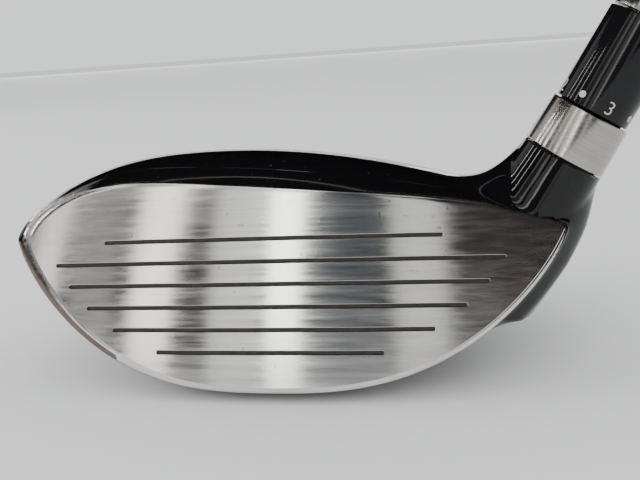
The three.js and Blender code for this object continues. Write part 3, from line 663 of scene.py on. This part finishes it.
body = boolean(outer, cavity)
body = boolean(body, top_trim)
body = boolean(body, front_cutter("front", FACE_THICK + SEAM))
body = boolean(body, bore)
body = boolean(body, cup_hole)
under = moved(outer, (0, 0, -1.25))
recess = boolean(plate_prism("recess", 0.0), under)
body = boolean(body, recess)
crown = boolean(outer, moved(outer, (0, 0, -0.9)))
crown = boolean(crown, plate_prism("crown", SEAM), "INTERSECT")

piece("head_shell", body, "head", [paint], ["body_shell"], 28.0)
piece("crown_skin", crown, "head", [crown_paint], ["crown_plate"], 28.0)


# ---- Face ----
def face_plate():
    count = 900
    angles = even_angles(count)
    x0, s0 = face_outline(0.0, angles)
    tx, ts = np.roll(x0, -1) - np.roll(x0, 1), np.roll(s0, -1) - np.roll(s0, 1)
    length = np.hypot(tx, ts)
    nx, ns = ts / length, -tx / length
    toe = np.clip(-nx, 0, 1) ** 1.6
    foot = np.clip(-ns, 0, 1)
    width = 0.45 + 2.6 * toe + 0.55 * foot
    for _ in range(30):
        width = (np.roll(width, 1) + 2 * width + np.roll(width, -1)) / 4
    drop = 0.22 + 0.55 * toe + 0.25 * foot
    rows = []
    for t in (0.0, 0.12, 0.25, 0.4, 0.55, 0.7, 0.82, 0.92, 0.98, 1.0):
        d = EDGE_DROP + (drop - EDGE_DROP) * (1 - math.cos(t * math.pi / 2))
        inset = (width - 0.12) * (1 - math.sin(t * math.pi / 2))
        x, s = face_outline(d, angles)
        rows.append(face_point(x - nx * inset, s - ns * inset, d))
    for t in (0.15, 0.35, 0.6, 0.85, 1.0):
        d = drop + (FACE_THICK - drop) * t
        x, s = face_outline(d, angles)
        rows.append(face_point(x, s, d))
    rim_x, rim_s = x0 - nx * width, s0 - ns * width
    inner = [face_point(rim_x, rim_s, 0.0)]
    steps = 46
    for k in range(1, steps):
        share = 1 - k / steps
        inner.append(shrunk(rim_x, rim_s, share, 0.0))
    back_x, back_s = face_outline(np.full(count, FACE_THICK), angles)
    back = []
    for k in range(1, 12):
        share = 1 - k / 12
        back.append(shrunk(back_x, back_s, share, FACE_THICK))
    rings = inner[::-1] + rows + back
    points = np.vstack(rings)
    faces = ring_faces(len(rings), count).tolist()
    for d, start in ((0.0, 0), (FACE_THICK, (len(rings) - 1) * count)):
        points = add_fan(points, faces, start, count, d, start == 0)
    return outward(make_mesh("face", points, faces)), angles, width


def groove_cutter(name, half, s):
    """A round-ended channel along the face."""
    profile = ((-0.5, 0.44), (-0.02, 0.44), (0.05, 0.345), (0.26, 0.30), (0.36, 0.22), (0.40, 0.10))
    ends = 10
    span = 40
    rings = []
    for d, wide in profile:
        right, left = GROOVE_X + half - 0.35, GROOVE_X - half + 0.35
        turn = np.linspace(-np.pi / 2, np.pi / 2, ends + 1)
        x = np.concatenate([right + wide * np.cos(turn), np.linspace(right, left, span)[1:-1],
                            left - wide * np.cos(turn), np.linspace(left, right, span)[1:-1]])
        up = np.concatenate([wide * np.sin(turn), np.full(span - 2, wide),
                             -wide * np.sin(turn), np.full(span - 2, -wide)])
        rings.append(face_point(x, s + up, d))
    count = len(rings[0])
    faces = ring_faces(len(rings), count).tolist()
    last = (len(rings) - 1) * count
    for start in (0, last):
        cap = []
        # strips across the channel, so that the long cap stays on the face's curve
        upper = [ends] + list(range(ends + 1, ends + span - 1)) + [ends + span - 1]
        lower = [0] + list(range(count - 1, 2 * ends + span - 1, -1)) + [2 * ends + span - 1]
        for k in range(len(upper) - 1):
            cap.append([start + upper[k], start + upper[k + 1], start + lower[k + 1], start + lower[k]])
        right_cap = [start + k for k in range(0, ends + 1)]
        left_cap = [start + k for k in range(ends + span - 1, 2 * ends + span)]
        cap += [right_cap, left_cap]
        faces += [f[::-1] for f in cap] if start == 0 else cap
    return outward(make_mesh(name, np.vstack(rings), faces))


face, bevel_angles, bevel_width = face_plate()
for k, half in enumerate(GROOVE_HALF_LENGTHS):
    face = boolean(face, groove_cutter("groove", half, GROOVE_TOP - k * GROOVE_PITCH))
bore_room = lathe("bore_room", [(0, 23), (6.9, 23), (6.9, 45.3), (0, 45.3)], HOSEL)
face = boolean(face, bore_room)


def vertex_array(mesh):
    co = np.empty(len(mesh.vertices) * 3)
    mesh.vertices.foreach_get("co", co)
    return co.reshape(-1, 3)


def add_face_uv(mesh):
    layer = mesh.uv_layers.new(name="face")
    co = vertex_array(mesh)
    index = np.empty(len(mesh.loops), int)
    mesh.loops.foreach_get("vertex_index", index)
    layer.data.foreach_set("uv", (co[index][:, [2, 0]] * 10).ravel())


def paint_face(mesh):
    """Slots: 0 brushed, 1 bevel, 2 groove, 3 painted side, 4 back, 5 painted dark brown reflection on the outer
    band of the toe's bevel and 6 painted shade as a grey line where the toe's bevel meets the face.
    """
    centre = np.empty(len(mesh.polygons) * 3)
    mesh.polygons.foreach_get("center", centre)
    p = centre.reshape(-1, 3) / MM
    d = face_depth(p)
    s = (p[:, 2] - FACE_HEIGHT) / math.cos(LOFT)
    angles = np.arctan2((p[:, 2] - FACE_HEIGHT) / math.cos(LOFT), p[:, 0] - FACE_CENTRE[0])
    x0, s0 = face_outline(0.0, angles)
    edge = np.hypot(x0 - FACE_CENTRE[0], s0 - FACE_CENTRE[1]) - np.hypot(p[:, 0] - FACE_CENTRE[0], s)
    slot = np.zeros(len(p), int)
    slot[(d > 0.008) & (edge < 6.0)] = 1
    near = np.zeros(len(p), bool)
    for k, half in enumerate(GROOVE_HALF_LENGTHS):
        row = GROOVE_TOP - k * GROOVE_PITCH
        near |= (np.abs(s - row) < 1.2) & (np.abs(p[:, 0] - GROOVE_X) < half + 0.2) & (edge > 2.0)
    slot[near & (d > 0.03) & (d < 0.6)] = 2
    slot[(d > 0.03) & (d < 0.6) & (edge > 6.0)] = 2
    toe = smooth_step(-p[:, 0], 30, 48)
    slot[(d > 0.36 + 0.42 * toe) & (slot != 2)] = 3
    slot[d > FACE_THICK - 0.02] = 4
    share = edge / np.interp(np.mod(angles, 2 * np.pi), bevel_angles, bevel_width)
    at_toe = (slot == 1) & (p[:, 0] < -30.0)
    # Painted dark brown reflection on the outer band of the toe's bevel.
    slot[at_toe & (share < 0.40)] = 5
    slot[(slot == 1) & (p[:, 0] < -18.0) & (s > TOE_TIP_S) & (share < 0.62)] = 3
    slot[(slot == 5) & (s > TOE_TIP_S)] = 3
    # Painted shade: a grey line where the toe's bevel meets the face.
    slot[at_toe & (share > 0.80) & (p[:, 0] < -36.0)] = 6
    mesh.polygons.foreach_set("material_index", slot)


face_materials = [face_steel, edge_steel, groove_dark, paint, raw_steel, edge_painted_brown_reflection, edge_painted_shade_line]
piece("face_plate_steel", face, "head", face_materials, ["face_plate"], 24.0)
paint_face(face)
add_face_uv(face)
face.update()


# ---- Adapter ----
collar = lathe("collar", rounded([
    (6.55, COLLAR_T), (7.3, COLLAR_T), (6.94, COLLAR_TOP_T), (BORE, COLLAR_TOP_T),
    (BORE, 47.0), (6.55, 47.0)], 0.22, 4, True), HOSEL, 160, True)
piece("adapter_ring", collar, "collar", [satin], ["adapter_collar"])

sleeve_profile = rounded([
    (0, 26.8), (4.1, 26.8), (4.1, 35.8), (SHANK_R, 35.8), (SHANK_R, COLLAR_T), (5.0, COLLAR_T),
    (5.0, 47.0), (SHANK_R, 47.0), (SHANK_R, SHOULDER_T), (SLEEVE_R, SHOULDER_T),
    (SLEEVE_R, SLEEVE_TOP_T), (0, SLEEVE_TOP_T)], 0.25, 4)
SPLINE_COUNT = 12


def splines(r, t, z):
    """The sleeve's keyed shank, which sets its turn in the hosel."""
    on = smooth_step(z, 36.6, 37.2) * (1 - smooth_step(z, 43.0, 43.6)) * (np.abs(r - SHANK_R) < 0.05)
    return r - 0.4 * on * smooth_step(np.cos(SPLINE_COUNT * t), -0.2, 0.4)


dense = []
for a, b in zip(sleeve_profile[:-1], sleeve_profile[1:]):
    on_shank = abs(a[0] - SHANK_R) < 0.01
    parts = max(1, int(np.linalg.norm(np.array(b) - np.array(a)) / 0.5)) if on_shank else 1
    dense += [np.array(a) + (np.array(b) - np.array(a)) * k / parts for k in range(parts)]
dense.append(sleeve_profile[-1])
sleeve = lathe("sleeve", dense, HOSEL, 192, False, splines)
thread_bore = lathe("thread_bore", [(0, 20), (2.8, 20), (2.8, 38.3), (0, 38.3)], HOSEL, 64)
shaft_bore = lathe("shaft_bore", [
    (0, TIP_Z - 0.3), (TIP_BORE_R, TIP_Z - 0.3), (TIP_BORE_R, 24), (0, 24)], SHAFT)
sleeve = boolean(boolean(sleeve, thread_bore), shaft_bore)
piece("adapter_body", sleeve, "shaft_unit", [sleeve_black], ["adapter_sleeve"])

# Index marks round the sleeve: a digit and a dot by turns
MARK_T = 56.1
towards = CAMERA_PLACE - HOSEL[:3, 3] - HOSEL_U * MARK_T
towards -= HOSEL_U * (towards @ HOSEL_U)
towards /= np.linalg.norm(towards)
rightwards = np.cross(HOSEL_U, towards)


def wrap(points, angle):
    """Lays flat (across, along, out) points on the sleeve."""
    turn = angle + points[:, 0] / SLEEVE_R
    radius = SLEEVE_R + points[:, 2]
    out = np.cos(turn)[:, None] * towards + np.sin(turn)[:, None] * rightwards
    return HOSEL[:3, 3] + HOSEL_U * (MARK_T + points[:, 1])[:, None] + out * radius[:, None]


def digit_points(text, size):
    curve = bpy.data.curves.new("digit", "FONT")
    curve.body = text
    curve.size = size
    curve.extrude = 0.06
    curve.offset = -0.035
    curve.align_x = "CENTER"
    curve.align_y = "CENTER"
    o = bpy.data.objects.new("digit", curve)
    bpy.context.scene.collection.objects.link(o)
    bpy.context.view_layer.update()
    mesh = bpy.data.meshes.new_from_object(o.evaluated_get(bpy.context.evaluated_depsgraph_get()))
    points = vertex_array(mesh)
    faces = [list(p.vertices) for p in mesh.polygons]
    bpy.data.objects.remove(o)
    points[:, :2] -= (points[:, :2].max(0) + points[:, :2].min(0)) / 2
    return points, faces


def dot_points(radius):
    angle = np.linspace(0, 2 * np.pi, 32, endpoint=False)
    ring = np.stack([radius * np.cos(angle), radius * np.sin(angle), np.zeros(32)], 1)
    points = np.vstack([ring - (0, 0, 0.05), ring + (0, 0, 0.03), ring * 0.9 + (0, 0, 0.05), [[0, 0, 0.05]]])
    faces = ring_faces(3, 32).tolist()
    faces += [[64 + k, 64 + (k + 1) % 32, 96] for k in range(32)] + [list(range(32))[::-1]]
    return points, faces


mark_pts, mark_faces = [], []
for k in range(8):
    shape, faces = (digit_points(str((3, 4, 1, 2)[k // 2]), 3.2) if k % 2 else dot_points(0.58))
    shape = wrap(shape, math.radians(-24 + 45 * k))
    first = sum(len(p) for p in mark_pts)
    mark_pts.append(shape)
    mark_faces += [[first + v for v in f] for f in faces]
marks = make_mesh("marks", np.vstack(mark_pts), mark_faces)
piece("index_marks", marks, "shaft_unit", [mark_paint])

# ---- Shaft, ferrule and grip ----
trim = lathe("trim", rounded([
    (TIP_BORE_R, TRIM_Z), (SLEEVE_R, TRIM_Z), (SLEEVE_R, TRIM_Z + 1.6), (TIP_BORE_R, TRIM_Z + 1.6)],
    0.2, 4, True), SHAFT, 128, True)
piece("trim_band", trim, "shaft_unit", [satin], ["trim_ring"])

ferrule_outline = [(TIP_BORE_R, FERRULE_Z), (SLEEVE_R, FERRULE_Z)]
for k in range(1, 25):
    share = k / 24
    radius = SLEEVE_R - 0.25 * share - 1.3 * share ** 2.2
    groove = 0.14 if k in (3, 5) else 0.0
    ferrule_outline.append((radius - groove, FERRULE_Z + FERRULE_LENGTH * share))
ferrule_outline.append((TIP_BORE_R, FERRULE_Z + FERRULE_LENGTH))
ferrule = lathe("ferrule", ferrule_outline, SHAFT, 128, True)
piece("ferrule_cone", ferrule, "shaft_unit", [ferrule_black], ["ferrule"])


def shaft_radius(z):
    return 4.25 + 3.35 * np.maximum(z - TIP_Z - 75.0, 0) / (BUTT_Z - TIP_Z - 75.0)


shaft_line = [(shaft_radius(z), z) for z in np.linspace(TIP_Z, BUTT_Z, 60)]
shaft_line += [(shaft_radius(z) - 1.1, z) for z in np.linspace(BUTT_Z, TIP_Z, 30)]
shaft = lathe("shaft", shaft_line, SHAFT, 96, True)


def shaft_material(name):
    """Clear-coated carbon with a faint weave, and plain bands near the grip."""
    n = Nodes(name)
    local = Matrix(SHAFT.tolist())
    local.translation = local.translation * MM
    inverse = local.inverted()
    turned = n.new("Mapping", {"Vector": n.coords, "Rotation": tuple(inverse.to_euler()),
                               "Location": tuple(inverse.translation)}).outputs[0]
    z = n.new("SeparateXYZ", {"Vector": turned}).outputs[2]
    weave = n.new("TexWave", {"Vector": turned, "Scale": 260.0, "Distortion": 2.0},
                  wave_type="BANDS", bands_direction="DIAGONAL").outputs["Fac"]
    flake = n.noise(2200.0, 2.0)
    colour = n.mix(n.remap(weave, 0.0, 0.5, 0.2, 0.8), (0.012, 0.0125, 0.014), (0.028, 0.029, 0.032))
    glitter = n.ramp(flake, [(0.62, (0, 0, 0)), (0.72, (0.35, 0.35, 0.35))])
    colour = n.mix(glitter, colour, (0.12, 0.12, 0.13))
    band = n.ramp(n.remap(z, 0.0, 1.0, 0.0, 1.0), [
        (0.0, (0, 0, 0)), (0.700, (0, 0, 0)), (0.701, (1, 1, 1)), (0.704, (1, 1, 1)), (0.705, (0, 0, 0)),
        (0.712, (0, 0, 0)), (0.713, (1, 1, 1)), (0.728, (1, 1, 1)), (0.729, (0, 0, 0))])
    colour = n.mix(band, colour, (0.42, 0.42, 0.44))
    rough = n.remap(flake, 0.16, 0.26, 0.3, 0.7)
    return n.out(Base_Color=colour, Roughness=rough, Normal=n.bump(weave, 0.04, 0.0001),
                 Coat_Weight=1.0, Coat_Roughness=0.04)


piece("shaft_tube", shaft, "shaft_unit", [shaft_material("shaft_paint")], ["shaft"])

GRIP_LENGTH = BUTT_Z - GRIP_Z
grip_rows = 420
CUT_PITCH = 3.46
outer_line = [(9.0, GRIP_Z)]
for k in range(grip_rows):
    share = k / (grip_rows - 1)
    rise = min(1.0, share * GRIP_LENGTH / 2.5)
    along = min(1.0, share * GRIP_LENGTH / (GRIP_LENGTH - 14))
    outer_line.append((9.0 + 0.7 * math.sin(rise * math.pi / 2) + 3.5 * along ** 1.3,
                       GRIP_Z + 0.2 + (GRIP_LENGTH - 0.2) * share))
inner_line = [(shaft_radius(z) + 1.0, z) for z in np.linspace(BUTT_Z, GRIP_Z, 24)]


def tread(r, t, z):
    """Moulded rubber: crossing fine cuts in long panels, plain rings between them."""
    u = (z - GRIP_Z) / GRIP_LENGTH
    outside = r > 8.9
    arc = t * 11.0
    cross = np.minimum(np.abs(np.sin(np.pi * (z + arc * 0.99) / CUT_PITCH)),
                       np.abs(np.sin(np.pi * (z - arc * 0.99) / CUT_PITCH)))
    cuts = 0.32 * (1 - smooth_step(cross, 0.10, 0.34))
    panel = smooth_step(u, 0.05, 0.06) * (1 - smooth_step(u, 0.94, 0.95))
    for at in (0.33, 0.62):
        panel = panel * (1 - (1 - smooth_step(np.abs(u - at), 0.010, 0.014)))
    rings = 0.22 * (1 - smooth_step(np.abs(np.sin(np.pi * z / 4.0)), 0.15, 0.4))
    rings = rings * (1 - panel) * smooth_step(u, 0.012, 0.02) * (1 - smooth_step(u, 0.965, 0.97))
    return r - np.where(outside, cuts * panel + rings, 0)


grip = lathe("grip", outer_line + inner_line, SHAFT, 200, True, tread)
piece("grip_rubber_sleeve", grip, "shaft_unit", [rubber], ["grip"], 60.0)

cap = lathe("cap", rounded([
    (1.3, BUTT_Z + 0.3), (13.2, BUTT_Z + 0.3), (13.2, BUTT_Z + 1.9), (12.1, BUTT_Z + 3.3), (9.5, BUTT_Z + 4.15),
    (9.1, BUTT_Z + 3.9), (5.2, BUTT_Z + 3.9), (4.8, BUTT_Z + 4.3), (1.3, BUTT_Z + 4.3)], 0.35, 4, True),
    SHAFT, 128, True)
piece("grip_end_cap", cap, "shaft_unit", [rubber], ["grip_cap"])

# ---- Screws and sole weight ----
def ridges(low, high, pitch, crest, root, cuts):
    """Thread ridges as plain rings; a real thread is a helix."""
    line, z = [], low
    while z < high:
        line += [(crest, z), (root, z + cuts[0]), (root, z + cuts[1]), (crest, z + cuts[2])]
        z += pitch
    return line


thread = [(0, 18.8), (3.9, 18.8), (4.2, 19.1), (4.2, 21.8), (2.5, 21.8)]
thread += ridges(22.6, 35.6, 0.8, 2.5, 2.28, (0.2, 0.3, 0.5))
thread += [(2.0, 36.3), (0, 36.3)]
hosel_screw = lathe("hosel_screw", thread, HOSEL, 96)
hosel_screw = boolean(hosel_screw, drive_cutter("drive", 2.6, 15.0, 20.6, HOSEL))
piece("hosel_bolt_screw", hosel_screw, "hosel_bolt", [screw_steel], ["hosel_screw"])

port = lathe("port", rounded([
    (8.5, 0.6), (8.5, 10.1), (2.3, 10.1), (2.3, 6.1), (7.3, 6.1), (7.3, 0.6)], 0.2, 3, True), WEIGHT, 128, True)
piece("weight_cup", port, "head", [sole_steel], ["weight_port"])

puck = lathe("puck", rounded([
    (3.7, 0.8), (7.0, 0.8), (7.0, 5.8), (2.3, 5.8), (2.3, 3.4), (3.7, 3.4)], 0.35, 4, True), WEIGHT, 128, True)
for k in range(3):
    turn = np.array(Matrix.Rotation(k * 2 * math.pi / 3, 4, "Z") @ Matrix.Translation((5.35, 0, 0)))
    dimple = lathe("dimple", rounded([(0, -1), (0.75, -1), (0.75, 1.15), (0, 1.15)], 0.1, 2), WEIGHT @ turn, 40)
    puck = boolean(puck, dimple)
piece("weight_disc", puck, "sole_weight", [sole_steel], ["weight_puck"])

small = [(0, 0.9), (3.1, 0.9), (3.4, 1.2), (3.4, 3.1), (2.0, 3.1)]
small += ridges(3.7, 8.0, 0.7, 2.0, 1.8, (0.18, 0.26, 0.44))
small += [(1.6, 8.6), (0, 8.6)]
weight_screw = lathe("weight_screw", small, WEIGHT, 96)
weight_screw = boolean(weight_screw, drive_cutter("drive", 1.9, -3.0, 2.2, WEIGHT))
piece("weight_bolt_screw", weight_screw, "weight_bolt", [screw_steel], ["weight_screw"])

# Pieces whose CAD shape is kept
for node, material in {
    "tuning_glue": glue, "screw_washer": screw_steel, "screw_retainer": nylon,
    "collar_clip": spring, "tip_plug": nylon, "grip_tape": tape,
}.items():
    kept = frame["nodes"][node]
    kept.data.materials.clear()
    kept.data.materials.append(material)

# ---- Stage, light and camera ----
def quad(name, corners, material):
    mesh = bpy.data.meshes.new(name)
    mesh.from_pydata([Vector(c) for c in corners], [], [(0, 1, 2, 3)])
    mesh.materials.append(material)
    o = bpy.data.objects.new(name, mesh)
    bpy.context.scene.collection.objects.link(o)
    return o


floor_nodes = Nodes("floor")
floor_tone = floor_nodes.noise(6.0, 3.0)
floor_material = floor_nodes.out(
    Base_Color=floor_nodes.mix(floor_tone, (0.82, 0.82, 0.815), (0.86, 0.86, 0.855)), Roughness=0.75,
    Specular_IOR_Level=0.2)
FLOOR_HALF, FLOOR_Z = 40, -0.0002
quad("floor", [(a * FLOOR_HALF, b * FLOOR_HALF, FLOOR_Z) for a, b in ((-1, -1), (1, -1), (1, 1), (-1, 1))],
     floor_material)

# The pale room lights the scene, and only the softboxes show in the gloss
world = bpy.data.worlds.new("studio")
bpy.context.scene.world = world
world.use_nodes = True
world.node_tree.nodes["Background"].inputs[0].default_value = (0.97, 0.985, 1.0, 1)
world.node_tree.nodes["Background"].inputs[1].default_value = 1.15
world.cycles_visibility.glossy = False


def softbox(name, position, target, size, radiance, colour=(1, 1, 1)):
    light = bpy.data.lights.new(name, "AREA")
    light.shape = "RECTANGLE"
    light.size, light.size_y = size
    light.energy = radiance * math.pi * size[0] * size[1]
    light.color = colour
    o = bpy.data.objects.new(name, light)
    bpy.context.scene.collection.objects.link(o)
    o.location = position
    o.rotation_euler = (Vector(target) - Vector(position)).to_track_quat("-Z", "Y").to_euler()
    o.visible_camera = False
    return o


LIT_POINT = (0.0, 0.01, 0.02)


def panel(name, azimuth, width, low, high, radiance, colour=(1, 1, 1), distance=1.3):
    """An upright softbox round the object. Azimuth 0 is in front of the face and 90 is past the heel."""
    a = math.radians(azimuth)
    wide = 2 * distance * math.tan(math.radians(width / 2))
    position = (distance * math.sin(a), -distance * math.cos(a), (low + high) / 2)
    return softbox(name, position, LIT_POINT, (wide, high - low), radiance, colour)


WARM, WHITE, COOL, ROSE = (1.0, 0.96, 0.90), (1.0, 1.0, 0.985), (0.78, 0.89, 1.0), (1.0, 0.80, 0.78)
softbox("overhead", (0.0, 0.08, 1.2), LIT_POINT, (1.8, 0.03), 2.0)
for name, azimuth, width, low, high, radiance, colour in (
        ("toe_streak_a", -102.0, 1.8, 0.25, 0.9, 17.0, WHITE),
        ("toe_streak_b", -86.0, 1.8, 0.25, 0.9, 17.0, WHITE),
        ("toe_streak_c", -68.0, 1.8, 0.20, 0.9, 17.0, WHITE),
        ("toe_edge", -49.5, 4.0, 0.0, 1.1, 2.2, WHITE),
        ("toe_dim", -42.0, 7.0, 0.0, 1.1, 0.4, WHITE),
        ("toe_band", -33.0, 6.5, 0.0, 1.1, 3.2, WARM),
        ("middle_band", -20.5, 8.0, 0.0, 1.1, 1.3, WHITE),
        ("bright_band", -13.2, 5.0, 0.0, 1.1, 6.0, WHITE),
        ("dark_band", -4.0, 10.0, 0.0, 1.1, 0.10, COOL),
        ("heel_band", 7.0, 8.0, 0.0, 1.1, 1.1, WHITE),
        ("heel_room", 26.0, 24.0, 0.0, 1.1, 0.05, ROSE),
        ("toe_room", -120.0, 24.0, 0.0, 0.9, 0.8, WHITE),
        ("heel_side", 100.0, 24.0, 0.0, 0.9, 0.8, WHITE)):
    panel(name, azimuth, width, low, high, radiance, colour)
for k in range(4):
    panel("horizon", 132.0 + 32.0 * k, 34.0, 0.3, 2.0, 1.6, WHITE, 9.0)

camera = bpy.data.cameras.new("camera")
camera.lens = 47.0
camera.sensor_width = 36.0
camera.clip_start = 0.005
camera.clip_end = 50.0
camera_object = bpy.data.objects.new("camera", camera)
bpy.context.scene.collection.objects.link(camera_object)
ROLL = math.radians(-4.03)
forward = Vector(VIEW_DIRECTION).normalized()
right = forward.cross(Vector((0, 0, 1))).normalized()
up = right.cross(forward)
right, up = right * math.cos(ROLL) + up * math.sin(ROLL), up * math.cos(ROLL) - right * math.sin(ROLL)
camera_turn = Matrix((right, up, -forward)).transposed().to_4x4()
camera_object.matrix_world = Matrix.Translation(Vector(CAMERA_PLACE) * MM) @ camera_turn
bpy.context.scene.camera = camera_object
